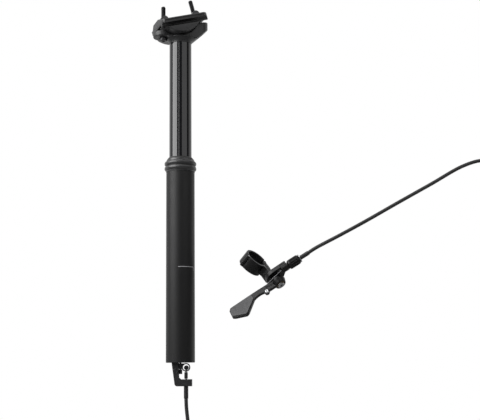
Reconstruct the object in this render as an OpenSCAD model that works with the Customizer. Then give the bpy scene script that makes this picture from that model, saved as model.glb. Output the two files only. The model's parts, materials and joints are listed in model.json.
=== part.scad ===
// Dropper seatpost with its foot actuator, cable and thumb remote.
// +Z runs up the post, +X points to the rear of the bicycle, millimetres.
// The origin lies on the post axis at the underside of the seal collar.

/* [Post] */
// Diameter of the outer tube
tube_d = 31.6; // [30.9:0.1:34.9]
// Wall of the outer tube
tube_wall = 1.8; // [1.6:0.1:2.2]
// Length of the outer tube below the collar
tube_length = 210; // [200:1:260]
// Diameter of the stanchion
stanchion_d = 25; // [24.5:0.1:25.4]
// Wall of the stanchion
stanchion_wall = 1.6; // [1.2:0.1:2]
// Stanchion that shows between the collar's underside and the neck of the head
stanchion_shown = 149; // [140:1:160]
// Stanchion that stays inside the outer tube
stanchion_held = 70; // [60:1:72]
// Drop of the saddle
travel = 125; // [100:1:126]
// Height of the bumper that stops the stanchion
bumper_h = 1.5; // [1:0.1:3]

/* [Collar] */
// Diameter of the seal collar
collar_d = 35.6; // [35:0.1:38]
// Height of the seal collar without the wiper lip
collar_h = 14; // [13:0.5:16]
// Height of the wiper lip above the collar
lip_h = 2.4; // [1.5:0.1:3]

/* [Saddle head] */
// Slope of the saddle rails against a plane square to the post
rail_tilt = 16; // [13:0.5:18]
// Diameter of the saddle rails
rail_d = 7; // [6.8:0.1:7.2]
// Distance between the saddle rails
rail_gauge = 44; // [43:0.5:45]
// Radius of the round seat in the head
cradle_r = 26; // [25:0.1:26.5]
// Height of the cradle axis above the neck
cradle_rise = 33.8; // [33.2:0.1:35]
// Length of the upper rail clamp
clamp_length = 56; // [54:1:60]
// Width of both rail clamps
clamp_width = 51; // [50:0.5:54]
// Diameter of the clamp bolts
bolt_d = 5; // [4.6:0.1:5.2]
// Length of the clamp bolts above their heads
bolt_length = 35; // [32:1:38]

/* [Cartridge] */
// Diameter of the gas cartridge
cartridge_d = 16; // [15:0.5:18]
// Wall of the gas cartridge
cartridge_wall = 1; // [0.8:0.1:1.4]
// Length of the gas cartridge
cartridge_length = 178; // [170:1:190]
// Diameter of the cartridge rod
rod_d = 8; // [7:0.5:9]
// Diameter of the release rod
release_d = 2.4; // [2:0.1:2.6]

/* [Actuator] */
// Turn of the actuator round the post axis, seen from above
foot_turn = -20; // [-40:1:0]
// Height of the actuator bracket below the tube
bracket_drop = 25.2; // [25:0.1:29]
// Thickness of the bracket's foot
foot_h = 7.4; // [7:0.1:8]
// Width of the bracket
bracket_w = 10.4; // [10:0.1:12]
// Thickness of the hook lever
hook_w = 5.2; // [4.8:0.1:5.4]
// Distance from the lever pivot to the cable eye, across the post
eye_reach = 11.1; // [10.5:0.1:11.5]

/* [Cable] */
// Diameter of the cable housing
housing_d = 4; // [4:0.1:4.4]
// Diameter of the inner wire
wire_d = 1.6; // [1.2:0.1:1.7]
// Diameter of the ferrules
ferrule_d = 4.9; // [4.7:0.1:5.4]
// Length of the post ferrule below the bracket
ferrule_length = 13; // [10:0.5:15]

/* [Remote] */
// Climb of the cable above level as it leaves the remote
remote_climb = 32; // [28:1:36]
// Roll of the remote about its cable
remote_roll = 148; // [142:1:154]
// Diameter of the handlebar
bar_d = 22.2; // [22:0.1:22.4]
// Width of the handlebar clamp
bar_clamp_w = 14.6; // [13:0.1:16]
// Wall of the handlebar clamp
bar_clamp_wall = 2.6; // [2.4:0.1:3]
// Thickness of the thumb paddle
paddle_t = 4; // [3:0.1:4.5]
// Thickness of the rubber thumb pad
pad_t = 1.2; // [0.8:0.1:1.6]
// Diameter of the pivot bolt's head
pivot_head_d = 7.5; // [7:0.1:8.5]
// Diameter of the barrel adjuster
adjuster_d = 10.8; // [10:0.1:11.6]
// Length of the barrel adjuster's grip
adjuster_length = 14.4; // [12:0.1:16]

/* [Clearances] */
// Gap of a running fit, on the radius
running_gap = 0.05; // [0.02:0.01:0.1]
// Gap between pieces that pass each other
free_gap = 0.3; // [0.2:0.05:0.5]

/* [Hidden] */
$fn = 64;

tube_r = tube_d / 2;
bore_r = tube_r - tube_wall;
stanchion_r = stanchion_d / 2;
stanchion_bore_r = stanchion_r - stanchion_wall;
tube_bottom = -tube_length;
eps = 0.01;
// Reach of a cut that goes right through
through = 80;

// Collar and tube top
spigot_h = 8;
spigot_r = tube_r - 0.6;
collar_r = collar_d / 2;
shoulder_h = 1;
seal_seat_r = stanchion_r + 2;
seal_lip_r = stanchion_r + free_gap;
o_ring_d = 1.2;
o_ring_z = 4;
o_ring_groove = o_ring_d + 0.3;
bushing_bottom = -16;

// Stanchion foot
stanchion_bottom = -stanchion_held;
lower_bushing_h = 16;
end_nut_h = 8;
key_w = 3;
key_l = 12;
key_count = 3;
key_sink = 0.7;
key_bottom = stanchion_bottom + lower_bushing_h + 3;
key_r = bore_r + 0.6;
key_slot_gap = 0.2;

// Base of the outer tube
plug_h = 10;
circlip_h = 1.4;
plug_bottom = tube_bottom + 3;
plug_top = plug_bottom + plug_h;
circlip_depth = 0.6;

// Cartridge
cartridge_r = cartridge_d / 2;
cartridge_bore_r = cartridge_r - cartridge_wall;
cartridge_bottom = stanchion_bottom + end_nut_h;
cartridge_cap = 6;
gland_h = 12;
rod_r = rod_d / 2;
rod_bore_r = release_d / 2 + 0.4;
rod_top = cartridge_bottom + gland_h + 5;
piston_h = 10;

// Saddle head
neck_z = stanchion_shown;
spigot_depth = 22;
spigot_roof = 3;
cradle_x = -7.5;
cradle_at = [cradle_x, 0, neck_z + cradle_rise];
neck_h = 6;
neck_turn = 70;
head_underside = neck_z + neck_h;
head_half_w = 14;
lobe_r = 11.5;
front_bolt_x = -20.3;
rear_lobe_x = 20.6;
rear_bolt_x = 24;
front_seat_z = neck_z + 8.2;
rear_seat_depth = 20.3;
head_top = -15.8;
counterbore_r = 5.2;
bolt_head_r = 4.25;
bolt_head_h = 4.4;
washer_r = 4.7;
washer_h = 1.5;
bolt_hole_r = bolt_d / 2 + 0.5;
parting = -13;
rail_drop = -15.5;
rail_r = rail_d / 2;
rail_groove_r = rail_r + 0.1;
parting_gap = 0.3;
shoulder_reach = 9;
upper_lip = -12.8;
lower_lip = -18.3;
upper_edge = -8.2;
upper_crown = -4;
upper_ridge = 1.8;
upper_recess = -12;
trough_floor = -8.7;
nut_r = 4.5;
nut_l = 14;
nut_rise = trough_floor + nut_r + free_gap;
front_nut_x = (front_bolt_x - cradle_x + nut_rise * sin(rail_tilt)) / cos(rail_tilt);
front_slot_x = front_nut_x + (upper_recess + upper_crown - 2 * nut_rise) / 2 * tan(rail_tilt);
tilt_room = 1.3;
bolt_slot = bolt_hole_r + 2.4;
tilt_sweep = 2.4;
clamp_offset = 4;
clamp_front = clamp_offset - clamp_length / 2;
clamp_rear = clamp_offset + clamp_length / 2;
front_corner = 5;
rear_corner = 10;

// Actuator
hook_pivot = [-5, 0, tube_bottom - 9.3];
hook_pin_r = 1.5;
eye_at = [hook_pivot.x + eye_reach, 0, tube_bottom - 5.1];
eye_r = 3.4;
eye_wall = 1.2;
foot_top = tube_bottom - bracket_drop + foot_h;
foot_bottom = foot_top - foot_h;
fork_gap = hook_w / 2 + free_gap;
hook_underside = hook_pivot.z + 2.5;
hook_topside = tube_bottom - 0.8;
fork_top = tube_bottom + 0.5;
release_nut_r = 2;
release_nut_h = 4.8;
release_play = 0.6;
release_bottom = hook_underside - release_play - release_nut_h;
cable_head_r = 2.5;
cable_head_l = 6;
cable_head_at = eye_at + [0.35, 0, -0.4];
liner_r = 1.9;
ferrule_r = ferrule_d / 2;
ferrule_socket = 3.4;
wire_r = wire_d / 2;
wire_pull = 4.3;
hook_boss_wall = 0.8;

// Remote, in its own frame: X along the cable, Y the way the pad faces, Z along the pivot
remote_at = [106.5, 5, -120.5];
cable_y = 11;
hub_bottom = -3;
hub_waist_r = 6;
hub_r = 8;
hub_shoulder = 3;
hub_top = 8.2;
lever_bush_r = 4;
pivot_r = 3;
plate_r = 11;
plate_h = 5;
plate_top = hub_bottom - free_gap;
boss_r = 4.25;
boss_start = 9.5;
boss_end = 17.4;
web_r = 3;
web_at = [cable_y - 2.4, plate_top - plate_h + web_r];
stem_depth = 5.6;
adjuster_start = boss_end + 0.4;
adjuster_end = adjuster_start + adjuster_length;
adjuster_stem_r = 3;
adjuster_round = 2.4;
ring_h = 1;
remote_ferrule_end = adjuster_end + ring_h + 11;
paddle_face = 3;
anchor_at = [-15.6, paddle_face + 1.4, 1.9];
pinch_at = [-17.3, paddle_face, 8.6];
pinch_boss_r = 2.8;
bar_at = [-11.35, 4.29, -34];
bar_turn = 30.5;
bar_r = bar_d / 2;
bar_outer_r = bar_r + bar_clamp_wall;
strap_pin_r = 1;
strap_knuckle_r = 2.2;
strap_pin_y = bar_outer_r - 0.3;
strap_gap = 0.8;
ear_y = -bar_outer_r - 3.4;
ear_h = 4;
ear_w = 8;
ear_hole_r = 1.7;
arm_w = 11;
arm_z = 1.8;
arm_end = bar_at.z - plate_top + plate_h / 2;

// Route of the cable housing: distance to the right of the post and height, in a plane
// turned like the actuator, from the post ferrule to the remote ferrule
housing_route = [
    [6, -249], [6.5, -258], [8, -272], [10, -289], [14, -309], [22, -332],
    [37, -356], [61, -378], [94, -393], [132, -400], [176, -400], [220, -392],
    [260, -376], [296, -352], [326, -320], [350, -281], [367, -236], [378, -189],
    [384, -141], [386, -96], [384, -54], [376, -20], [361, 2], [340, 10],
    [314, 3], [280, -16], [240, -38], [206, -57], [176, -73]
];

function smooth_point(a, b, c, d, t) =
    0.5 * (2 * b + (c - a) * t + (2 * a - 5 * b + 4 * c - d) * t * t
        + (3 * b - a - 3 * c + d) * t * t * t);

// Places the children in the plane of the actuator and the cable
module in_foot_plane() {
    rotate([0, 0, foot_turn]) children();
}

// Places the children in the tilted frame of the saddle clamps, its origin on the cradle axis
module in_clamp_frame() {
    translate(cradle_at) rotate([0, -rail_tilt, 0]) children();
}

// Places the children in the frame of the remote
module in_remote_frame() {
    in_foot_plane() translate(remote_at) rotate([remote_roll, -remote_climb, 0]) children();
}

// Places the children in the frame of the handlebar clamp, its Z along the handlebar
module in_bar_frame() {
    in_remote_frame() translate(bar_at) rotate([0, 90, bar_turn]) children();
}

// A ring with a plain bore
module ring(r_out, r_in, h) {
    difference() {
        cylinder(r = r_out, h = h);
        translate([0, 0, -1]) cylinder(r = r_in, h = h + 2);
    }
}

// A cylinder along Y, centred on the origin
module cross_cylinder(r, l) {
    rotate([90, 0, 0]) cylinder(r = r, h = l, center = true);
}

// A cylinder along X from x0 to x1
module long_cylinder(r, x0, x1) {
    translate([x0, 0, 0]) rotate([0, 90, 0]) cylinder(r = r, h = x1 - x0);
}

// The key grooves' or keys' places round the post
module key_places() {
    for (i = [0 : key_count - 1]) rotate([0, 0, 60 + i * 360 / key_count]) children();
}

module outer_tube() {
    color("#1b1b1d") difference() {
        union() {
            translate([0, 0, tube_bottom]) cylinder(r = tube_r, h = tube_length);
            cylinder(r = spigot_r, h = spigot_h);
        }
        translate([0, 0, tube_bottom - 1]) cylinder(r = bore_r, h = tube_length + spigot_h + 2);
        key_places() translate([bore_r - 1, -key_w / 2 - key_slot_gap, plug_top])
            cube([key_r + key_slot_gap - bore_r + 1, key_w + 2 * key_slot_gap,
                key_bottom + key_l + 2 - plug_top]);
        translate([0, 0, plug_bottom - circlip_h - 0.1])
            cylinder(r = bore_r + circlip_depth + 0.1, h = circlip_h + 0.1);
    }
}

module seal_collar() {
    band_r = 3;
    color("#202022") rotate_extrude() difference() {
        polygon(concat(
            [[spigot_r, 0], [tube_r + 0.2, 0]],
            [for (a = [-60 : 15 : 60]) [collar_r - band_r + band_r * cos(a), 4 + band_r * sin(a)]],
            [for (a = [-60 : 15 : 75]) [collar_r - band_r + band_r * cos(a), 9.4 + band_r * sin(a)]],
            [[seal_seat_r + 0.9, collar_h], [seal_seat_r, collar_h],
                [seal_seat_r, spigot_h + shoulder_h], [seal_lip_r, spigot_h + shoulder_h],
                [seal_lip_r, spigot_h], [spigot_r, spigot_h]]));
        translate([spigot_r - 1, o_ring_z - o_ring_groove / 2]) square([1 + o_ring_groove, o_ring_groove]);
    }
}

module wiper_seal() {
    color("#131314") rotate_extrude() polygon([
        [seal_lip_r, spigot_h + shoulder_h], [seal_seat_r, spigot_h + shoulder_h],
        [seal_seat_r, collar_h + 0.6], [seal_seat_r - 0.5, collar_h + 1.4],
        [seal_lip_r + 0.5, collar_h + lip_h], [seal_lip_r, collar_h + lip_h]]);
}

module collar_o_ring() {
    color("#0c0c0c") translate([0, 0, o_ring_z]) rotate_extrude()
        translate([spigot_r + o_ring_d / 2 + 0.05, 0]) circle(r = o_ring_d / 2, $fn = 24);
}

module upper_bushing() {
    color("#c8b27a") translate([0, 0, bushing_bottom])
        ring(bore_r, stanchion_r + running_gap, spigot_h - bushing_bottom);
}

module stanchion() {
    color("#0e0e10") difference() {
        translate([0, 0, stanchion_bottom])
            ring(stanchion_r, stanchion_bore_r, stanchion_held + stanchion_shown);
        key_places() translate([stanchion_r - key_sink, -key_w / 2, key_bottom])
            cube([key_sink + 1, key_w, key_l]);
    }
}

module lower_bushing() {
    color("#c8b27a") translate([0, 0, stanchion_bottom])
        ring(bore_r - running_gap, stanchion_r, lower_bushing_h);
}

module anti_rotation_keys() {
    color("#b5923c") key_places() intersection() {
        translate([stanchion_r - key_sink, -key_w / 2, key_bottom])
            cube([key_r - stanchion_r + key_sink, key_w, key_l]);
        translate([0, 0, key_bottom]) cylinder(r = key_r, h = key_l);
    }
}

module stanchion_end_nut() {
    color("#6c6f73") translate([0, 0, stanchion_bottom])
        ring(stanchion_bore_r, rod_r + 1.2, end_nut_h);
}

module cartridge_body() {
    color("#8c8f94") difference() {
        translate([0, 0, cartridge_bottom]) cylinder(r = cartridge_r, h = cartridge_length);
        translate([0, 0, cartridge_bottom - 1])
            cylinder(r = cartridge_bore_r, h = cartridge_length - cartridge_cap + 1);
    }
}

module cartridge_gland() {
    color("#4d4f52") translate([0, 0, cartridge_bottom])
        ring(cartridge_bore_r, rod_r + running_gap, gland_h);
}

module cartridge_rod() {
    color("#c9ccd0") translate([0, 0, plug_bottom]) ring(rod_r, rod_bore_r, rod_top - plug_bottom);
}

module cartridge_piston() {
    color("#77797d") translate([0, 0, rod_top]) ring(cartridge_bore_r - free_gap, rod_bore_r, piston_h);
}

module bottom_bumper() {
    color("#1a1a1a") translate([0, 0, plug_top]) ring(bore_r - 1, rod_r + 2, bumper_h);
}

module base_plug() {
    color("#55585c") translate([0, 0, plug_bottom]) ring(bore_r - running_gap, rod_r, plug_h);
}

module base_circlip() {
    color("#3a3a3c") translate([0, 0, plug_bottom - circlip_h]) difference() {
        ring(bore_r + circlip_depth, bore_r - 2, circlip_h);
        translate([-bore_r - 1, -3, -1]) cube([bore_r, 6, circlip_h + 2]);
    }
}

// Side outline of the bracket: a slanting arm and a foot, with its outer corner rounded
module bracket_outline() {
    corner_r = 3;
    arm_top = plug_bottom;
    polygon(concat(
        [[-9.3, arm_top], [-9.3, tube_bottom]],
        [for (a = [180 : 15 : 270])
            [-6.2 + corner_r + corner_r * cos(a), foot_bottom + corner_r + corner_r * sin(a)]],
        [[12.6, foot_bottom], [12.6, foot_top], [0.4, foot_top], [-1.6, foot_top + 2], [-1.9, arm_top]]));
}

module actuator_bracket() {
    color("#3b3c3f") in_foot_plane() difference() {
        union() {
            rotate([90, 0, 0]) linear_extrude(bracket_w, center = true) bracket_outline();
            translate(hook_pivot) cross_cylinder(hook_pin_r + 1.1, bracket_w + 1);
            translate([eye_at.x, 0, foot_bottom]) cylinder(r = ferrule_r + 2, h = foot_h);
        }
        translate([-through / 2, -fork_gap, foot_top]) cube([through, 2 * fork_gap, fork_top - foot_top]);
        translate(hook_pivot) cross_cylinder(hook_pin_r, bracket_w + 4);
        translate([eye_at.x, 0, foot_bottom - 1]) cylinder(r = ferrule_r, h = ferrule_socket + 1);
        translate([eye_at.x, 0, foot_bottom]) cylinder(r = liner_r + free_gap, h = foot_h + 1);
    }
}

module hook_lever() {
    slot_near = 4.5;
    slot_far = 2.6;
    color("#2a2a2c") in_foot_plane() difference() {
        union() {
            translate(hook_pivot) cross_cylinder(hook_pin_r + hook_boss_wall, hook_w);
            rotate([90, 0, 0]) linear_extrude(hook_w, center = true) polygon([
                [hook_pivot.x - 2.3, hook_pivot.z], [hook_pivot.x - 2.4, hook_topside - 2.4],
                [hook_pivot.x - 0.6, hook_topside], [eye_at.x - 1, hook_topside],
                [eye_at.x, hook_underside], [hook_pivot.x + 1.6, hook_underside],
                [hook_pivot.x + 2.2, hook_pivot.z]]);
            translate(eye_at) cross_cylinder(eye_r + eye_wall, hook_w);
        }
        translate(hook_pivot) cross_cylinder(hook_pin_r + running_gap, hook_w + 2);
        translate(eye_at) cross_cylinder(eye_r, hook_w + 2);
        translate([-slot_near, -release_d / 2 - free_gap, hook_underside - eps])
            cube([slot_near + slot_far, release_d + 2 * free_gap, through]);
        translate([eye_at.x - wire_r - 0.5, -wire_r - 0.5, eye_at.z - 10])
            cube([2 * wire_r + 2, 2 * wire_r + 1, 10]);
    }
}

module hook_pivot_pin() {
    color("#6a6c70") in_foot_plane() translate(hook_pivot) cross_cylinder(hook_pin_r, bracket_w + 1.4);
}

module release_rod() {
    release_top = rod_top + piston_h - 2;
    color("#b8bbc0") translate([0, 0, release_bottom])
        cylinder(r = release_d / 2, h = release_top - release_bottom);
}

module release_nut() {
    color("#333336") translate([0, 0, release_bottom]) ring(release_nut_r, release_d / 2, release_nut_h);
}

module cable_head() {
    color("#9fa2a6") in_foot_plane() translate(cable_head_at) cross_cylinder(cable_head_r, cable_head_l);
}

// The inner wire below its cable head, with the liner that keeps dirt out of the bracket
module post_wire() {
    wire_end = foot_bottom - ferrule_length + wire_pull + free_gap;
    liner_top = eye_at.z - eye_r - eye_wall - 0.6;
    liner_bottom = foot_bottom + ferrule_socket + wire_pull + free_gap;
    color("#1c1c1e") in_foot_plane() {
        translate([eye_at.x, 0, wire_end])
            cylinder(r = wire_r, h = cable_head_at.z - cable_head_r - wire_end);
        translate([eye_at.x, 0, liner_bottom]) cylinder(r = liner_r, h = liner_top - liner_bottom);
    }
}

module post_ferrule() {
    color("#242426") in_foot_plane() translate([eye_at.x, 0, foot_bottom - ferrule_length]) difference() {
        cylinder(r = ferrule_r, h = ferrule_length + ferrule_socket);
        translate([0, 0, -1]) cylinder(r = wire_r + free_gap, h = ferrule_length + ferrule_socket + 2);
    }
}

// The housing's two ends, square to the ferrules, with the hand-laid route between
function housing_points() = let(
    post_end = [eye_at.x, 0, foot_bottom - ferrule_length],
    climb = [cos(remote_climb), 0, sin(remote_climb)],
    across = [-sin(remote_climb), 0, cos(remote_climb)],
    cable_start = remote_at + cable_y * (sin(remote_roll) * across + [0, cos(remote_roll), 0]),
    remote_end = cable_start + remote_ferrule_end * climb,
    depth_end = remote_end.y)
    concat([post_end],
        [for (i = [1 : len(housing_route) - 1]) let(p = housing_route[i])
            [p.x, i < 20 ? 0 : depth_end * (i - 19) / 9, p.y]],
        [remote_end + 12 * climb, remote_end]);

function housing_path() = let(p = housing_points(), n = len(p)) [
    for (i = [0 : n - 2], t = [0, 0.5])
        smooth_point(p[max(i - 1, 0)], p[i], p[i + 1], p[min(i + 2, n - 1)], t),
    p[n - 1]];

module cable_housing() {
    sides = 8;
    path = housing_path();
    n = len(path);
    rings = [for (i = [0 : n - 1]) let(
        d = path[min(i + 1, n - 1)] - path[max(i - 1, 0)],
        along = d / norm(d),
        side = cross(along, [0, 1, 0]) / norm(cross(along, [0, 1, 0])),
        other = cross(along, side))
        for (k = [0 : sides - 1]) path[i] + housing_d / 2
            * (cos(k * 360 / sides) * side + sin(k * 360 / sides) * other)];
    walls = [for (i = [0 : n - 2], k = [0 : sides - 1]) let(j = (k + 1) % sides)
        for (f = [[0, sides, 1], [1, sides, sides + 1]]) [for (c = f)
            i * sides + (c % sides == 0 ? k : j) + (c >= sides ? sides : 0)]];
    first_cap = [for (k = [1 : sides - 2]) [0, k, k + 1]];
    last_cap = [for (k = [1 : sides - 2]) [for (c = [0, k + 1, k]) c + (n - 1) * sides]];
    color("#161617") in_foot_plane() polyhedron(rings, concat(walls, first_cap, last_cap));
}

// Plan of the head: two round lobes joined by a straight waist
module head_plan(h) {
    for (x = [front_bolt_x, rear_lobe_x]) translate([x, 0, 0]) cylinder(r = lobe_r, h = h);
    translate([front_bolt_x, -lobe_r, 0]) cube([rear_lobe_x - front_bolt_x, 2 * lobe_r, h]);
    cylinder(r = head_half_w, h = h);
}

// Concave flare from the stanchion out to the underside of the head
module neck_flare() {
    rotate_extrude() polygon(concat(
        [[0, neck_z]],
        [for (a = [0 : 10 : neck_turn]) [stanchion_r + neck_h * (1 - cos(a)), neck_z + neck_h * sin(a)]],
        [[stanchion_r + neck_h * (1 - cos(neck_turn)), head_underside + 1], [0, head_underside + 1]]));
}

module saddle_head() {
    slope = tan(rail_tilt);
    top_mid = cradle_at.z + head_top / cos(rail_tilt);
    lobe_end = lobe_r + 2.5;
    step_x = front_bolt_x + 6;
    rear_x = rear_lobe_x + lobe_end;
    color("#2c2c2e") difference() {
        union() {
            intersection() {
                translate([0, 0, neck_z]) head_plan(40);
                rotate([90, 0, 0]) linear_extrude(60, center = true) polygon(concat(
                    [[front_bolt_x - lobe_end, head_underside], [front_bolt_x - lobe_end, neck_z + 11.5],
                        [step_x, neck_z + 12], [step_x, top_mid + slope * (step_x - cradle_x)],
                        [rear_x, top_mid + slope * (rear_x - cradle_x)],
                        [rear_x, neck_z + 22.6], [16, head_underside]]));
            }
            neck_flare();
            translate([0, 0, neck_z - spigot_depth]) cylinder(r = stanchion_bore_r, h = spigot_depth + eps);
        }
        translate([0, 0, neck_z - spigot_depth - 1])
            cylinder(r = cartridge_r + free_gap, h = spigot_depth + 1 - spigot_roof);
        translate(cradle_at) cross_cylinder(cradle_r + free_gap, through);
        translate([front_bolt_x, 0, neck_z]) cylinder(r = bolt_hole_r, h = through);
        translate([front_bolt_x, 0, front_seat_z - through]) cylinder(r = counterbore_r, h = through);
        in_clamp_frame() translate([rear_bolt_x, 0, -through]) cylinder(r = bolt_hole_r, h = through);
        in_clamp_frame() translate([rear_bolt_x, 0, -rear_seat_depth - through])
            cylinder(r = counterbore_r, h = through);
    }
}

module lower_rail_clamp() {
    notch_half = bolt_hole_r + 1.2;
    half = through / 2;
    front_notch = (front_bolt_x - cradle_x + parting * sin(rail_tilt)) / cos(rail_tilt)
        + bolt_hole_r + tilt_sweep;
    rear_notch = rear_bolt_x - bolt_hole_r - tilt_sweep;
    color("#1d1d1f") in_clamp_frame() difference() {
        intersection() {
            cross_cylinder(cradle_r, clamp_width);
            translate([-half, -half, parting - through]) cube(through);
        }
        for (s = [0, 1]) mirror([0, s, 0]) translate([0, rail_gauge / 2, rail_drop]) {
            long_cylinder(rail_groove_r, -half, half);
            translate([-half, 0, lower_lip - rail_drop]) cube(through);
            translate([-half, -shoulder_reach, -parting_gap]) cube(through);
        }
        translate([front_notch - through, -notch_half, -through]) cube([through, 2 * notch_half, through]);
        translate([rear_notch, -notch_half, -through]) cube([through, 2 * notch_half, through]);
    }
}

// Half cross-section of the upper clamp, from its middle out to its edge
module upper_clamp_half() {
    w = clamp_width / 2;
    polygon([
        [0, upper_crown], [10, upper_crown], [w - 8, upper_edge], [w - 0.8, upper_edge],
        [w, upper_edge - 0.8], [w, upper_edge - upper_ridge], [w - 0.8, upper_edge - upper_ridge - 0.4],
        [w - 0.8, upper_lip], [rail_gauge / 2, upper_lip],
        [rail_gauge / 2, rail_drop + parting_gap],
        [rail_gauge / 2 - shoulder_reach + 2.5, rail_drop + parting_gap],
        [rail_gauge / 2 - shoulder_reach + 0.5, upper_recess], [0, upper_recess]]);
}

// Plan of the upper clamp: tight corners in front, wide ones behind
module upper_clamp_plan() {
    w = clamp_width / 2;
    for (s = [-1, 1]) {
        translate([clamp_front + front_corner, s * (w - front_corner)]) circle(r = front_corner);
        translate([clamp_rear - rear_corner, s * (w - rear_corner)]) circle(r = rear_corner);
    }
    translate([clamp_front, -w + front_corner])
        square([clamp_length - rear_corner, clamp_width - 2 * front_corner]);
    translate([clamp_front + front_corner, -w])
        square([clamp_length - front_corner - rear_corner, clamp_width]);
    translate([clamp_front + front_corner, -w + rear_corner])
        square([clamp_length - front_corner, clamp_width - 2 * rear_corner]);
}

module upper_rail_clamp() {
    half = through / 2;
    trough = nut_r + tilt_room;
    color("#232325") in_clamp_frame() difference() {
        intersection() {
            for (s = [0, 1]) mirror([0, s, 0]) translate([clamp_front, 0, 0]) rotate([90, 0, 90])
                linear_extrude(clamp_length) upper_clamp_half();
            translate([0, 0, -half]) linear_extrude(through) upper_clamp_plan();
        }
        for (s = [-1, 1]) translate([0, s * rail_gauge / 2, rail_drop])
            long_cylinder(rail_groove_r, -half, half);
        for (x = [front_nut_x, rear_bolt_x]) translate([x - trough, -nut_l / 2 - free_gap, trough_floor])
            cube([2 * trough, nut_l + 2 * free_gap, through]);
        for (x = [front_slot_x, rear_bolt_x]) translate([x - bolt_slot, -bolt_hole_r, -half])
            cube([2 * bolt_slot, 2 * bolt_hole_r, through]);
    }
}

// A socket-head bolt standing on the underside of its head's seat
module clamp_bolt() {
    translate([0, 0, -washer_h - bolt_head_h]) difference() {
        cylinder(r = bolt_head_r, h = bolt_head_h);
        translate([0, 0, -1]) cylinder(r = 2.3, h = 3.5, $fn = 6);
    }
    translate([0, 0, -washer_h - eps]) cylinder(r = bolt_d / 2, h = bolt_length + washer_h - 0.6);
    translate([0, 0, bolt_length - 0.6 - 2 * eps])
        cylinder(r1 = bolt_d / 2, r2 = bolt_d / 2 - 0.6, h = 0.6);
}

module on_front_seat() {
    translate([front_bolt_x, 0, front_seat_z]) children();
}

module on_rear_seat() {
    in_clamp_frame() translate([rear_bolt_x, 0, -rear_seat_depth]) children();
}

module front_clamp_bolt() {
    color("#17171a") on_front_seat() clamp_bolt();
}

module rear_clamp_bolt() {
    color("#17171a") on_rear_seat() clamp_bolt();
}

module bolt_washers() {
    color("#47494d") {
        on_front_seat() translate([0, 0, -washer_h]) ring(washer_r, bolt_d / 2, washer_h);
        on_rear_seat() translate([0, 0, -washer_h]) ring(washer_r, bolt_d / 2, washer_h);
    }
}

module front_barrel_nut() {
    color("#303033") difference() {
        in_clamp_frame() translate([front_nut_x, 0, nut_rise]) cross_cylinder(nut_r, nut_l);
        on_front_seat() cylinder(r = bolt_d / 2 + running_gap, h = through);
    }
}

module rear_barrel_nut() {
    color("#303033") difference() {
        in_clamp_frame() translate([rear_bolt_x, 0, nut_rise]) cross_cylinder(nut_r, nut_l);
        on_rear_seat() cylinder(r = bolt_d / 2 + running_gap, h = through);
    }
}

// Ring of the handlebar clamp, kept on one side of its parting plane
module bar_ring(upper) {
    difference() {
        union() {
            translate([0, 0, -bar_clamp_w / 2]) cylinder(r = bar_outer_r, h = bar_clamp_w);
            translate([upper ? strap_gap : -strap_gap - ear_h, ear_y - ear_w / 2 + 1, -ear_w / 2])
                cube([ear_h, ear_w - 1, ear_w]);
        }
        translate([0, 0, -bar_clamp_w]) cylinder(r = bar_r, h = 2 * bar_clamp_w);
        translate([upper ? strap_gap - through : -strap_gap, -through / 2, -through / 2]) cube(through);
        translate([0, ear_y, 0]) long_cylinder(ear_hole_r, -through / 2, through / 2);
    }
}

// Knuckle of the strap hinge between two heights along the handlebar
module strap_knuckle(z0, z1) {
    translate([0, strap_pin_y, z0]) cylinder(r = strap_knuckle_r, h = z1 - z0);
}

// Room for the other half's knuckle between two heights along the handlebar
module knuckle_room(z0, z1) {
    translate([0, strap_pin_y, z0]) cylinder(r = strap_knuckle_r + free_gap, h = z1 - z0);
}

// Arm from the handlebar ring up to the pivot plate, its outer side tangent to the ring
module bar_arm() {
    translate([0, 0, arm_z - arm_w / 2]) linear_extrude(arm_w) polygon([
        [-strap_gap - ear_h, -bar_outer_r + 1], [-bar_r, -bar_outer_r + 0.6], [arm_end, -bar_outer_r + 2.4],
        [arm_end, -bar_outer_r / 3], [-bar_outer_r - 4, -bar_outer_r / 3],
        [-bar_outer_r - 0.4, -bar_outer_r / 5], [-bar_r, 0]]);
}

// Plate under the lever, drawn out towards the cable boss, and the boss on its rounded web
module pivot_plate() {
    translate([0, 0, plate_top - plate_h]) linear_extrude(plate_h) {
        circle(r = plate_r);
        polygon([[0, plate_r], [boss_end, web_at.x + web_r], [boss_end, web_at.x - web_r],
            [plate_r * cos(40), -plate_r * sin(40)], [0, 0]]);
    }
    translate([boss_start, 0, 0]) rotate([90, 0, 90]) linear_extrude(boss_end - boss_start) {
        translate([cable_y, 0]) circle(r = boss_r);
        translate(web_at) circle(r = web_r);
        polygon([[cable_y + boss_r, 0], [web_at.x + web_r, web_at.y],
            [web_at.x - web_r, web_at.y], [cable_y - boss_r, 0]]);
    }
}

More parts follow.
